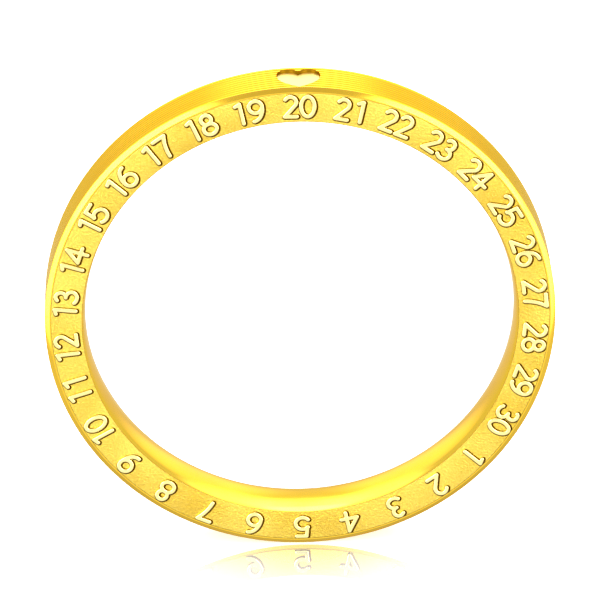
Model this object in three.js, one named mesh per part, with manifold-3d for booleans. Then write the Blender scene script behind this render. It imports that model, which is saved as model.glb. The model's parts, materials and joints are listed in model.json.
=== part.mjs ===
// Row-counter ring. A slim finger ring whose outer band turns around a numbered dial: the heart sunk in
// the band points at the number of rows worked, and a click spring holds the band at each of them.
//
// Millimetres. The ring stands upright: its axis is Y, the numbered face looks along -Y, +Z is up and
// the origin is the centre of the ring. Angles run clockwise from the top, as the wearer reads the dial.
import * as THREE from 'three';
import { mergeVertices } from 'three/addons/utils/BufferGeometryUtils.js';
import Module from 'manifold-3d';

const wasm = await Module();
wasm.setup();

// Driving dimensions
const BORE_R = 8.65; // finger size: 17.3 mm inside diameter
const OUTER_R = 10.3;
const WIDTH = 2.0; // along the axis, without the raised numerals
const COUNT = 30; // numbers on the dial, and clicks in one turn
const TOP_NUMBER = 20; // the number under the heart at rest
const RUNNING_GAP = 0.03; // between pieces that turn past each other
const FIT_GAP = 0.02; // between pieces that are pressed together
const SEGMENTS = 90; // facets round each turned piece

// Worked out from them
const HALF = WIDTH / 2;
const STEP = (2 * Math.PI) / COUNT;

// Finger sleeve: a tube with a spigot at each end for the dial and the rear ring
const BORE_BEVEL = 0.15;
const SPIGOT_R = BORE_R + BORE_BEVEL;
const RACE_R = 9.08; // the track the balls roll on
const PLATE = 0.3; // thickness of the dial and of the rear ring
const SHOULDER = HALF - PLATE - FIT_GAP; // where the spigots end, each side of the middle

// Dial and rear ring
const PLATE_INNER_R = SPIGOT_R + FIT_GAP;
const PLATE_OUTER_R = 10.02;
const NUMERAL_R = 9.485; // middle of the numerals
const NUMERAL_STROKE = 0.17;
const NUMERAL_PITCH = 0.68; // from one figure of a number to the next
const NUMERAL_RELIEF = 0.08;
const ROOT_DEPTH = 0.04; // how far each numeral is rooted in its dial

// Index band
const SKIRT_R = PLATE_OUTER_R + RUNNING_GAP;
const CHAMFER_R = 10.1; // inner edge of the polished chamfer
const CHAMFER_DEPTH = 0.1;
const REAR_CHAMFER = 0.05;
const WEB_HALF = 0.6; // half the width of the band's inner web
const WEB_R = 9.62;
const NOTCH_DEPTH = 0.1;
const NOTCH_HALF_WIDTH = 0.25;
const NOTCH_FRONT = 0.12; // the notches run from here to the back of the web
const HEART_WIDTH = 1.75;
const HEART_HEIGHT = 1.68;
const HEART_MIDDLE = -0.05;
const HEART_FLOOR = OUTER_R - 0.18;

// Ball race
const BALL_COUNT = 20;
const BALL_R = 0.25;
const BALL_PATH_R = (RACE_R + WEB_R) / 2;
const BALL_Y = -0.22;
const CAGE_WALL = 0.34; // radial thickness of the cage
const CAGE_FRONT = -0.44;
const CAGE_BACK = 0.1;

// Glide rings
const GLIDE_THICKNESS = 0.06;
const GLIDE_INNER_R = WEB_R + 0.04;
const GLIDE_OUTER_R = SKIRT_R - 0.04;

// Click spring: a split ring that hugs the sleeve, with arched arms that press a nib into a notch
const SPRING_THICKNESS = 0.12;
const SPRING_WIDTH = 0.34;
const SPRING_Y = 0.37;
const SPRING_BASE_R = RACE_R + RUNNING_GAP + SPRING_THICKNESS / 2;
const SPRING_CREST_R = WEB_R - RUNNING_GAP - SPRING_THICKNESS / 2;
const NIBS = [60, 180, 300]; // degrees: each one faces a notch at rest
const NIB_RISE = 0.09;
const NIB_SPREAD = 1.3; // degrees each side of a nib
const ARM_SPREAD = 24; // degrees each side of an arm's crest
const STOP_HALF_ANGLE = 1.2; // degrees: half the key that stops the spring turning

// Locating pins that line the dial up with the clicks
const PIN_R = 0.07;
const PIN_LENGTH = 0.3;
const PIN_ANGLES = [90, 270];
const PIN_PATH_R = (PLATE_INNER_R + RACE_R) / 2;

const FINISHES = {
  polished: { color: 0xf2c84b, roughness: 0.12, metalness: 1 },
  satin: { color: 0xf5d860, roughness: 0.42, metalness: 1 },
  steel: { color: 0xb9bcc0, roughness: 0.2, metalness: 1 },
  bronze: { color: 0xa9793c, roughness: 0.4, metalness: 1 },
  polymer: { color: 0xe9e6dc, roughness: 0.6, metalness: 0 },
};

const radians = (degrees) => (degrees * Math.PI) / 180;

// ---- solids ---------------------------------------------------------------------------------------

// A closed solid for joining and cutting, from a three.js geometry.
function solid(geometry) {
  const bare = geometry.index ? geometry.toNonIndexed() : geometry.clone();
  bare.deleteAttribute('normal');
  bare.deleteAttribute('uv');
  const welded = mergeVertices(bare, 1e-5);
  return new wasm.Manifold(new wasm.Mesh({
    numProp: 3,
    vertProperties: new Float32Array(welded.attributes.position.array),
    triVerts: new Uint32Array(welded.index.array),
  }));
}

// The geometry of a joined or cut solid.
function geometryOf(body) {
  const { vertProperties, triVerts } = body.getMesh();
  const geometry = new THREE.BufferGeometry();
  geometry.setAttribute('position', new THREE.BufferAttribute(new Float32Array(vertProperties), 3));
  geometry.setIndex(new THREE.BufferAttribute(new Uint32Array(triVerts), 1));
  return geometry;
}

// A ring turned about Y from a closed section of [radius, y] points, listed with the metal on the left.
function turned(section, segments = SEGMENTS) {
  const points = [...section, section[0]].map(([r, y]) => new THREE.Vector2(r, y));
  return new THREE.LatheGeometry(points, segments);
}

// A plain washer between two radii and two places along the axis.
const washer = (inner, outer, front, back, segments) =>
  turned([[outer, front], [outer, back], [inner, back], [inner, front]], segments);

// Places a shape that is drawn facing the front: its X runs clockwise, its Y outwards, its Z to -Y.
function seat(geometry, angle) {
  const outwards = new THREE.Vector3(Math.sin(angle), 0, Math.cos(angle));
  const clockwise = new THREE.Vector3(Math.cos(angle), 0, -Math.sin(angle));
  const forwards = new THREE.Vector3(0, -1, 0);
  return geometry.applyMatrix4(new THREE.Matrix4().makeBasis(clockwise, outwards, forwards));
}

// A flat shape given thickness between two places along the axis, then seated at an angle.
function plate(shape, front, back, angle = 0) {
  const geometry = new THREE.ExtrudeGeometry(shape, { depth: back - front, bevelEnabled: false });
  return seat(geometry.translate(0, 0, -back), angle);
}

// ---- numerals -------------------------------------------------------------------------------------

const arc = (x, y, rx, ry, from, to) =>
  new THREE.Path().absellipse(x, y, rx, ry, radians(from), radians(to), from > to);
const line = (...points) => new THREE.Path().setFromPoints(points.map(([x, y]) => new THREE.Vector2(x, y)));
const loop = (x, y, rx, ry) => arc(x, y, rx, ry, 0, 360);

// The middle lines of each figure's strokes, about the figure's centre.
const FIGURES = {
  0: [loop(0, 0, 0.265, 0.43)],
  1: [line([0.085, 0.43], [0.085, -0.43]), line([-0.11, 0.355], [0.085, 0.43])],
  2: [arc(-0.01, 0.19, 0.235, 0.24, 150, -25).lineTo(-0.235, -0.43), line([-0.235, -0.43], [0.25, -0.43])],
  3: [arc(-0.02, 0.225, 0.2, 0.205, 140, -90), arc(-0.02, -0.205, 0.265, 0.225, 90, -145)],
  4: [
    line([0.1, 0.43], [-0.33, -0.15]),
    line([-0.33, -0.15], [0.33, -0.15]),
    line([0.1, 0.43], [0.1, -0.43]),
  ],
  5: [
    line([0.21, 0.43], [-0.2, 0.43]),
    line([-0.2, 0.43], [-0.23, 0.01]),
    arc(-0.03, -0.16, 0.29, 0.27, 140, -140),
  ],
  6: [loop(0, -0.17, 0.265, 0.26), arc(0.17, -0.17, 0.435, 0.6, 90, 180)],
  7: [
    line([-0.27, 0.43], [0.27, 0.43]),
    new THREE.Path().moveTo(0.27, 0.43).quadraticCurveTo(0, 0.05, -0.05, -0.43),
  ],
  8: [loop(0, 0.225, 0.205, 0.205), loop(0, -0.2, 0.265, 0.23)],
  9: [loop(0, 0.17, 0.265, 0.26), arc(-0.17, 0.17, 0.435, 0.6, 0, -90)],
};
const CURVE_DIVISIONS = 4;
const CAP_STEPS = 3;

// The points of a stroke's two edges: a closed stroke gives two loops, an open one a loop with round ends.
function strokeOutline(path) {
  const points = path.getPoints(CURVE_DIVISIONS);
  const closed = points[0].distanceTo(points.at(-1)) < 1e-6;
  if (closed) points.pop();
  const last = points.length - 1;
  const half = NUMERAL_STROKE / 2;
  const edge = (side) => points.map((point, i) => {
    const before = points[closed ? (i + last) % points.length : Math.max(i - 1, 0)];
    const after = points[closed ? (i + 1) % points.length : Math.min(i + 1, last)];
    const into = point.clone().sub(before).normalize();
    const outOf = after.clone().sub(point).normalize();
    const along = into.add(outOf).normalize();
    const mitre = outOf.lengthSq() ? along.dot(outOf) : 1;
    const across = new THREE.Vector2(-along.y, along.x).multiplyScalar((side * half) / mitre);
    return point.clone().add(across);
  });
  const cap = (centre, from) => Array.from({ length: CAP_STEPS - 1 }, (_, k) => {
    const turn = (-Math.PI * (k + 1)) / CAP_STEPS;
    return from.clone().rotateAround(centre, turn);
  });
  const left = edge(1);
  const right = edge(-1);
  if (closed) return { outline: left, hole: right };
  return {
    outline: [...left, ...cap(points[last], left[last]), ...right.reverse(), ...cap(points[0], right[last])],
  };
}

// One stroke as a flat shape.
function strokeShape(path) {
  const { outline, hole } = strokeOutline(path);
  const size = (ring) => Math.abs(THREE.ShapeUtils.area(ring));
  const outerFirst = !hole || size(outline) > size(hole);
  const shape = new THREE.Shape(outerFirst ? outline : hole);
  if (hole) shape.holes.push(new THREE.Path(outerFirst ? hole : outline));
  return shape;
}

// How far a figure reaches left and right of its centre, with its stroke.
function reach(figure) {
  const across = FIGURES[figure].flatMap((path) => path.getPoints(CURVE_DIVISIONS).map((p) => p.x));
  return [Math.min(...across) - NUMERAL_STROKE / 2, Math.max(...across) + NUMERAL_STROKE / 2];
}

// The raised solids of one number, centred over its own place on the dial.
function numberSolids(number) {
  const figures = String(number).split('');
  const starts = figures.map((_, i) => (i - (figures.length - 1) / 2) * NUMERAL_PITCH);
  const left = starts[0] + reach(figures[0])[0];
  const right = starts.at(-1) + reach(figures.at(-1))[1];
  const shift = -(left + right) / 2;
  return figures.flatMap((figure, i) => FIGURES[figure].map((path) => {
    const stroke = new THREE.ExtrudeGeometry(strokeShape(path), {
      depth: NUMERAL_RELIEF + ROOT_DEPTH,
      bevelEnabled: false,
    });
    stroke.translate(starts[i] + shift, NUMERAL_R, HALF - ROOT_DEPTH);
    return solid(seat(stroke, (number - TOP_NUMBER) * STEP));
  }));
}

// ---- pieces ---------------------------------------------------------------------------------------

// Holes for the locating pins, half in the sleeve's shoulder and half in the back of the dial.
const pinAt = (angle, radius, length) => {
  const pin = new THREE.CylinderGeometry(radius, radius, length, 8);
  const middle = -(SHOULDER + FIT_GAP / 2);
  return pin.translate(PIN_PATH_R * Math.sin(angle), middle, PIN_PATH_R * Math.cos(angle));
};
const pinHole = (angle) => solid(pinAt(radians(angle), PIN_R + FIT_GAP, PIN_LENGTH + FIT_GAP));
const pinHoles = () => PIN_ANGLES.map(pinHole);

// A tube for the finger, bevelled where it meets the faces, with a key for the click spring.
function fingerSleeve() {
  const tube = solid(turned([
    [SPIGOT_R, -HALF], [SPIGOT_R, -SHOULDER], [RACE_R, -SHOULDER], [RACE_R, SHOULDER],
    [SPIGOT_R, SHOULDER], [SPIGOT_R, HALF], [BORE_R, HALF - BORE_BEVEL], [BORE_R, BORE_BEVEL - HALF],
  ]));
  const edge = (SPRING_BASE_R + SPRING_THICKNESS / 2) * Math.tan(radians(STOP_HALF_ANGLE));
  const key = new THREE.BoxGeometry(2 * edge, SPRING_WIDTH, SPRING_THICKNESS + 2 * RUNNING_GAP);
  key.translate(0, SPRING_Y, RACE_R + (SPRING_THICKNESS - RUNNING_GAP) / 2);
  return pinHoles().reduce((body, hole) => body.subtract(hole), tube.add(solid(key)));
}

// The numbered face: a flat ring with its numbers standing proud of it.
function numberDial() {
  const blank = solid(washer(PLATE_INNER_R, PLATE_OUTER_R, -HALF, PLATE - HALF));
  const bored = pinHoles().reduce((body, hole) => body.subtract(hole), blank);
  const numbers = Array.from({ length: COUNT }, (_, i) => i + 1).flatMap(numberSolids);
  return numbers.reduce((body, stroke) => body.add(stroke), bored);
}

// A heart with its lobes towards the back of the ring and its tip towards the numbers.
function heartShape() {
  const w = HEART_WIDTH / 2;
  const top = HEART_MIDDLE + HEART_HEIGHT / 2;
  const tip = HEART_MIDDLE - HEART_HEIGHT / 2;
  const side = top - 0.3 * HEART_HEIGHT;
  const cleft = top - 0.12 * HEART_HEIGHT;
  const heart = new THREE.Shape().moveTo(0, cleft);
  heart.bezierCurveTo(0.2 * w, top, 0.45 * w, top, 0.5 * w, top);
  heart.bezierCurveTo(0.85 * w, top, w, top - 0.14 * HEART_HEIGHT, w, side);
  heart.bezierCurveTo(w, side - 0.34 * HEART_HEIGHT, 0.52 * w, tip + 0.16 * HEART_HEIGHT, 0, tip);
  heart.bezierCurveTo(-0.52 * w, tip + 0.16 * HEART_HEIGHT, -w, side - 0.34 * HEART_HEIGHT, -w, side);
  heart.bezierCurveTo(-w, top - 0.14 * HEART_HEIGHT, -0.85 * w, top, -0.5 * w, top);
  heart.bezierCurveTo(-0.45 * w, top, -0.2 * w, top, 0, cleft);
  return heart;
}

// One notch of the click track, wider than it is deep.
function notch(index) {
  const mouth = WEB_R - NOTCH_DEPTH / 2;
  const half = NOTCH_HALF_WIDTH * 1.5;
  const shape = new THREE.Shape().moveTo(-half, mouth);
  shape.lineTo(half, mouth);
  shape.lineTo(0, WEB_R + NOTCH_DEPTH);
  return solid(plate(shape, NOTCH_FRONT, WEB_HALF + ROOT_DEPTH, index * STEP));
}

// The turning band: an outer skin over an inner web that carries the ball track and the click notches.
function indexBand() {
  const ring = solid(turned([
    [SKIRT_R, -HALF], [CHAMFER_R, -HALF], [OUTER_R, CHAMFER_DEPTH - HALF], [OUTER_R, HALF - REAR_CHAMFER],
    [OUTER_R - REAR_CHAMFER, HALF], [SKIRT_R, HALF], [SKIRT_R, WEB_HALF], [WEB_R, WEB_HALF],
    [WEB_R, -WEB_HALF], [SKIRT_R, -WEB_HALF],
  ]));
  const heart = new THREE.ExtrudeGeometry(heartShape(), {
    depth: 2 * (OUTER_R - HEART_FLOOR),
    bevelEnabled: false,
    curveSegments: 6,
  });
  const pocketed = ring.subtract(solid(heart.translate(0, 0, HEART_FLOOR)));
  const notches = Array.from({ length: COUNT }, (_, i) => notch(i));
  return notches.reduce((body, cut) => body.subtract(cut), pocketed);
}

// The plain ring that closes the back and keeps the band on.
const rearRing = () => washer(PLATE_INNER_R, PLATE_OUTER_R, HALF - PLATE, HALF);

// A thin washer between the band's web and a fixed face; side is -1 at the front and 1 at the back.
function glideRing(side) {
  const middle = (side * (HALF - PLATE + WEB_HALF)) / 2;
  const half = GLIDE_THICKNESS / 2;
  return washer(GLIDE_INNER_R, GLIDE_OUTER_R, middle - half, middle + half);
}

// The ring that spaces the balls, with a pocket for each that is open towards the dial.
function ballCage() {
  const inner = BALL_PATH_R - CAGE_WALL / 2;
  let cage = solid(washer(inner, inner + CAGE_WALL, CAGE_FRONT, CAGE_BACK, 60));
  const pocketR = BALL_R + FIT_GAP;
  const depth = BALL_Y + pocketR - CAGE_FRONT + ROOT_DEPTH;
  for (let i = 0; i < BALL_COUNT; i += 1) {
    const angle = (i / BALL_COUNT) * 2 * Math.PI;
    const pocket = new THREE.BoxGeometry(2 * pocketR, 2 * CAGE_WALL, depth);
    pocket.translate(0, BALL_PATH_R, -(BALL_Y + pocketR - depth / 2));
    cage = cage.subtract(solid(seat(pocket, angle)));
  }
  return cage;
}

function ball(index) {
  const angle = (index / BALL_COUNT) * 2 * Math.PI;
  const sphere = new THREE.IcosahedronGeometry(BALL_R, 1);
  return sphere.translate(BALL_PATH_R * Math.sin(angle), BALL_Y, BALL_PATH_R * Math.cos(angle));
}

// How far the middle of the click spring's wire is from the axis, at an angle in degrees.
function springRadius(degrees) {
  const fromNib = Math.min(...NIBS.map((nib) => Math.abs(degrees - nib)));
  if (fromNib >= ARM_SPREAD) return SPRING_BASE_R;
  const arm = Math.cos((fromNib / ARM_SPREAD) * (Math.PI / 2)) ** 2;
  const nib = Math.max(0, 1 - fromNib / NIB_SPREAD) * NIB_RISE;
  return SPRING_BASE_R + (SPRING_CREST_R - SPRING_BASE_R) * arm + nib;
}

// The places where the spring's wire bends: every 6 degrees, closer on the arms, and at each nib's foot.
function springAngles() {
  const free = 2 * STOP_HALF_ANGLE;
  const even = Array.from({ length: 59 }, (_, i) => 6 * (i + 1));
  const nibs = NIBS.flatMap((nib) => [nib - NIB_SPREAD, nib + NIB_SPREAD, nib - 3, nib + 3]);
  return [free, ...even, ...nibs, 360 - free].sort((a, b) => a - b);
}

function clickSpring() {
  const rim = (offset) => springAngles().map((degrees) => {
    const radius = springRadius(degrees) + offset;
    return new THREE.Vector2(radius * Math.sin(radians(degrees)), radius * Math.cos(radians(degrees)));
  });
  const half = SPRING_THICKNESS / 2;
  const shape = new THREE.Shape([...rim(half), ...rim(-half).reverse()]);
  return plate(shape, SPRING_Y - SPRING_WIDTH / 2, SPRING_Y + SPRING_WIDTH / 2);
}

// ---- assembly -------------------------------------------------------------------------------------

const ring = new THREE.Group();

// Adds one named piece, made of a geometry or of a joined solid.
function place(parent, name, shape, finish) {
  const geometry = shape.isBufferGeometry ? shape : geometryOf(shape);
  const mesh = new THREE.Mesh(geometry, new THREE.MeshStandardMaterial(FINISHES[finish]));
  mesh.name = name;
  parent.add(mesh);
}

const core = new THREE.Group();
place(core, 'finger_sleeve', fingerSleeve(), 'polished');
place(core, 'number_dial', numberDial(), 'satin');
place(core, 'rear_ring', rearRing(), 'polished');
place(core, 'front_glide_ring', glideRing(-1), 'polymer');
place(core, 'rear_glide_ring', glideRing(1), 'polymer');
place(core, 'click_spring', clickSpring(), 'steel');
PIN_ANGLES.forEach((angle, i) => {
  place(core, `dial_pin_${i + 1}`, pinAt(radians(angle), PIN_R, PIN_LENGTH), 'steel');
});

const band = new THREE.Group();
place(band, 'index_band', indexBand(), 'polished');

const race = new THREE.Group();
place(race, 'ball_cage', ballCage(), 'bronze');
for (let i = 0; i < BALL_COUNT; i += 1) {
  place(race, `race_ball_${String(i + 1).padStart(2, '0')}`, ball(i), 'steel');
}

ring.add(core, band, race);

export default ring;
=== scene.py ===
"""Row-counter ring: the finished look of a slim gold ring that counts knitted rows.

The ring stands upright on a pale floor with its axis along Y and its numbered face towards -Y. Turned pieces
are revolved from rounded sections, the numbers are raised figures with softened edges, and the balls run
between the sleeve and the turning band. Lengths are given in millimetres and made metres by MM.
"""

import json
import logging
import math
from dataclasses import dataclass, field
from enum import Enum
from typing import Sequence

import bmesh
import bpy
import numpy as np
from mathutils import Matrix, Vector
from mathutils.geometry import delaunay_2d_cdt

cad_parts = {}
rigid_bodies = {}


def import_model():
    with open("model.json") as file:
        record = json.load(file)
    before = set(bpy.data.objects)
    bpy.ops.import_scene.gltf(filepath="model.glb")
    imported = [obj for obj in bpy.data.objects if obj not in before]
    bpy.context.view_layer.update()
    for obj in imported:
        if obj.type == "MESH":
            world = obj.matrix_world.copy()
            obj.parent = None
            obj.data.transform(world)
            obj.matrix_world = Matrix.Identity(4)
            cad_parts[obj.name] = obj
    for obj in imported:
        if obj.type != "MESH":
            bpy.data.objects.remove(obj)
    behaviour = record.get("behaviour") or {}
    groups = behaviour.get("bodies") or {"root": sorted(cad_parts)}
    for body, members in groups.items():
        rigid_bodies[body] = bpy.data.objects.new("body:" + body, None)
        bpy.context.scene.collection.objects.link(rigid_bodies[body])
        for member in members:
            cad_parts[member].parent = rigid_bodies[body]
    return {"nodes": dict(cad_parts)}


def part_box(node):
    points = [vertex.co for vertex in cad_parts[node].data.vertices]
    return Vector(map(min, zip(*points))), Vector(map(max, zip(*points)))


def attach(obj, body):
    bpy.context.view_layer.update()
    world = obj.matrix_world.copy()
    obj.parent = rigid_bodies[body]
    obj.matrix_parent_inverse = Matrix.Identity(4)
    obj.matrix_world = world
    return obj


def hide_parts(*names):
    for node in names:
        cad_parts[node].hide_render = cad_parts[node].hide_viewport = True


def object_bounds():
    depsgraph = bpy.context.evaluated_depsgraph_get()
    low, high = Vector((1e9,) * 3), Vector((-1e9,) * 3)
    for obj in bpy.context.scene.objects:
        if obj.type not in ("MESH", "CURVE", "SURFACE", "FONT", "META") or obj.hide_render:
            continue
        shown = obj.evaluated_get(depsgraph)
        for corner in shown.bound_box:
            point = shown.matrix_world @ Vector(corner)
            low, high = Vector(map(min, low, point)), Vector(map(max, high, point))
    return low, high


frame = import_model()
cad_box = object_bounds()
log = logging.getLogger("row_counter")

MM = 0.001
OUTER_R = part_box("index_band")[1].x / MM
HALF_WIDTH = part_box("index_band")[1].y / MM
LIP = 0.02  # The rounding of a polished edge.
FILLET = 0.01  # The rounding of a plain edge.

Point = tuple[float, float]


# ---- node building ----


class Socket:
    """An output socket whose arithmetic adds Math nodes to its tree."""

    def __init__(self, kit: "NodeKit", socket: bpy.types.NodeSocket) -> None:
        self.kit, self.socket = kit, socket

    def _math(self, operation: str, first: object, second: object) -> "Socket":
        """One Math node on two values."""
        node = self.kit.node("ShaderNodeMath", {"operation": operation}, {0: first, 1: second})
        return self.kit.out(node)

    def __add__(self, other: object) -> "Socket":
        """self + other."""
        return self._math("ADD", self, other)

    def __sub__(self, other: object) -> "Socket":
        """self - other."""
        return self._math("SUBTRACT", self, other)

    def __rsub__(self, other: object) -> "Socket":
        """other - self."""
        return self._math("SUBTRACT", other, self)

    def __mul__(self, other: object) -> "Socket":
        """self * other."""
        return self._math("MULTIPLY", self, other)

    def __truediv__(self, other: object) -> "Socket":
        """self / other."""
        return self._math("DIVIDE", self, other)

    def __mod__(self, other: object) -> "Socket":
        """self modulo other."""
        return self._math("MODULO", self, other)

    __radd__ = __add__
    __rmul__ = __mul__

    def apply(self, operation: str, other: object = 0.0) -> "Socket":
        """Any other Math operation on this value."""
        return self._math(operation, self, other)

    def ramp(self, low: float, high: float) -> "Socket":
        """A smooth step.

        Args:
            low: The value where it starts.
            high: The value where it ends.

        Returns:
            0 at low, 1 at high.
        """
        node = self.kit.node(
            "ShaderNodeMapRange",
            {"interpolation_type": "SMOOTHSTEP"},
            {"Value": self, "From Min": low, "From Max": high},
        )
        return self.kit.out(node)


class NodeKit:
    """Adds nodes to one tree, with their settings first and their values or links after."""

    def __init__(self, tree: bpy.types.NodeTree) -> None:
        """Starts on an empty tree."""
        self.tree = tree
        tree.nodes.clear()

    def node(self, kind: str, settings: dict | None = None, inputs: dict | None = None) -> bpy.types.Node:
        """Adds a node.

        Args:
            kind: The node's type name.
            settings: Attributes set before the inputs.
            inputs: Socket name or index to a plain value or a Socket.

        Returns:
            The new node.
        """
        made = self.tree.nodes.new(kind)
        for name, value in (settings or {}).items():
            setattr(made, name, value)
        for key, value in (inputs or {}).items():
            if isinstance(value, Socket):
                self.tree.links.new(value.socket, made.inputs[key])
            else:
                made.inputs[key].default_value = value
        return made

    def out(self, node: bpy.types.Node, key: str | int = 0) -> Socket:
        """One of a node's outputs, ready for arithmetic."""
        return Socket(self, node.outputs[key])

    def mix(self, factor: Socket, low: Sequence[float], high: Sequence[float]) -> Socket:
        """Mixes two colours.

        Args:
            factor: 0 for low, 1 for high.
            low: The first colour.
            high: The second colour.

        Returns:
            The mixed colour.
        """
        settings = {"data_type": "RGBA"}
        node = self.node("ShaderNodeMix", settings, {"Factor": factor, 6: (*low, 1.0), 7: (*high, 1.0)})
        return self.out(node, 2)

    def close(self, geometry: Socket, material: Socket) -> None:
        """Ends a Geometry Nodes tree with real copies, one finish and the tree's output.

        Args:
            geometry: What the tree has made.
            material: The finish that it gets.
        """
        real = self.out(self.node("GeometryNodeRealizeInstances", None, {"Geometry": geometry}))
        dressed = self.node("GeometryNodeSetMaterial", None, {"Geometry": real, "Material": material})
        self.node("NodeGroupOutput", None, {0: self.out(dressed)})


def new_tree(name: str, inputs: dict[str, str], output: str) -> tuple[NodeKit, list[Socket], list[str]]:
    """Starts a Geometry Nodes tree.

    Args:
        name: The tree's name.
        inputs: Each input's name and kind.
        output: The name of the geometry that it gives.
    """
    tree = bpy.data.node_groups.new(name, "GeometryNodeTree")
    made = [
        tree.interface.new_socket(label, in_out="INPUT", socket_type=f"NodeSocket{kind}")
        for label, kind in inputs.items()
    ]
    tree.interface.new_socket(output, in_out="OUTPUT", socket_type="NodeSocketGeometry")
    kit = NodeKit(tree)
    given = kit.node("NodeGroupInput")
    return kit, [kit.out(given, k) for k in range(len(made))], [socket.identifier for socket in made]


# ---- finishes ----

Colour = tuple[float, float, float]


class Surface(Enum):
    """The ways the ring's metal and inner pieces are finished, some with painted light or shade."""

    POLISHED = "polished"
    SATIN = "satin"
    LINED = "lined"
    # Polished gold whose pale colour partly paints a highlight.
    BRIGHT = "bright"
    # Frosted gold whose pale colour partly paints a highlight.
    FROSTED = "frosted"
    # Dark gold that paints the shadow beside the raised numbers.
    AGED = "aged"
    EDGE = "edge"
    # Dark gold that paints the shade on the sunk heart's walls.
    DEEP = "deep"
    STEEL = "steel"
    BRONZE = "bronze"
    POLYMER = "polymer"


PATCH_GRAINS = 40  # How many grains wide the broad patches are.
PATCH_WEIGHT = 0.6  # How much of the tone comes from them.
TONE_ENDS = (0.3, 0.7)  # The tones that are all shade and all colour.
FINE_DETAIL, BROAD_DETAIL = 3.0, 2.0


@dataclass(frozen=True)
class Finish:
    """A procedural finish.

    Attributes:
        name: The material's name.
        colour: Its colour where it is brightest.
        shade: The colour of its darker patches.
        roughness: The roughness between its marks.
        grain: Width of its finest grain, in mm.
        relief: Height of that grain, in mm.
        spread: How much the grain changes the roughness.
        coat: Weight of the thin clear layer that a polish leaves.
        turned: How much the grain is drawn out round the ring, from 1, not at all.
        metallic: 1 for metal, 0 for polymer.
        edge: Its tint where it is seen edge-on.
    """

    name: str
    colour: Colour
    shade: Colour
    roughness: float
    grain: float
    relief: float
    spread: float
    coat: float = 0.0
    turned: float = 1.0
    metallic: float = 1.0
    edge: Colour = (1.0, 0.62, 0.12)

    def build(self) -> bpy.types.Material:
        """Makes the material.

        Returns:
            The material, with a fine grain over broad patches.
        """
        material = bpy.data.materials.new(self.name)
        material.use_nodes = True
        kit = NodeKit(material.node_tree)
        place = self._place(kit)
        fine = self._noise(kit, place, self.grain, FINE_DETAIL)
        broad = self._noise(kit, place, self.grain * PATCH_GRAINS, BROAD_DETAIL)
        tone = broad * PATCH_WEIGHT + fine * (1 - PATCH_WEIGHT)
        bump = kit.node("ShaderNodeBump", None, {"Strength": 1.0, "Distance": self.relief * MM, "Height": fine})
        shader = kit.node(
            "ShaderNodeBsdfPrincipled",
            None,
            {
                "Base Color": kit.mix(tone.ramp(*TONE_ENDS), self.shade, self.colour),
                "Roughness": fine * self.spread + (self.roughness - self.spread / 2),
                "Metallic": self.metallic,
                "Specular Tint": (*self.edge, 1.0),
                "Coat Weight": self.coat,
                "Coat Roughness": self.roughness / 2,
                "Normal": kit.out(bump),
            },
        )
        kit.node("ShaderNodeOutputMaterial", None, {"Surface": kit.out(shader)})
        return material

    def _place(self, kit: NodeKit) -> Socket:
        """Where the pattern is read.

        Args:
            kit: The material's nodes.

        Returns:
            Plain object space, or the same drawn out round the ring's axis.
        """
        place = kit.out(kit.node("ShaderNodeTexCoord"), "Object")
        if self.turned == 1.0:
            return place
        split = kit.node("ShaderNodeSeparateXYZ", None, {0: place})
        x, y, z = (kit.out(split, i) for i in range(3))
        radius = (x * x + z * z).apply("SQRT")
        angle = x.apply("ARCTAN2", z)
        drawn = angle * (OUTER_R * MM / self.turned)
        return kit.out(kit.node("ShaderNodeCombineXYZ", None, {0: drawn, 1: y, 2: radius}))

    @staticmethod
    def _noise(kit: NodeKit, place: Socket, width: float, detail: float) -> Socket:
        """A noise pattern.

        Args:
            kit: The material's nodes.
            place: Where it is read.
            width: The width of its marks, in mm.
            detail: How many finer layers it has.

        Returns:
            The pattern, about 0 to 1.
        """
        inputs = {"Vector": place, "Scale": 0.5 / (width * MM), "Detail": detail, "Roughness": 0.6}
        return kit.out(kit.node("ShaderNodeTexNoise", None, inputs))


# Gold paled to paint the highlight on the numbers' polished tops and on the heart's floor.
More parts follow.
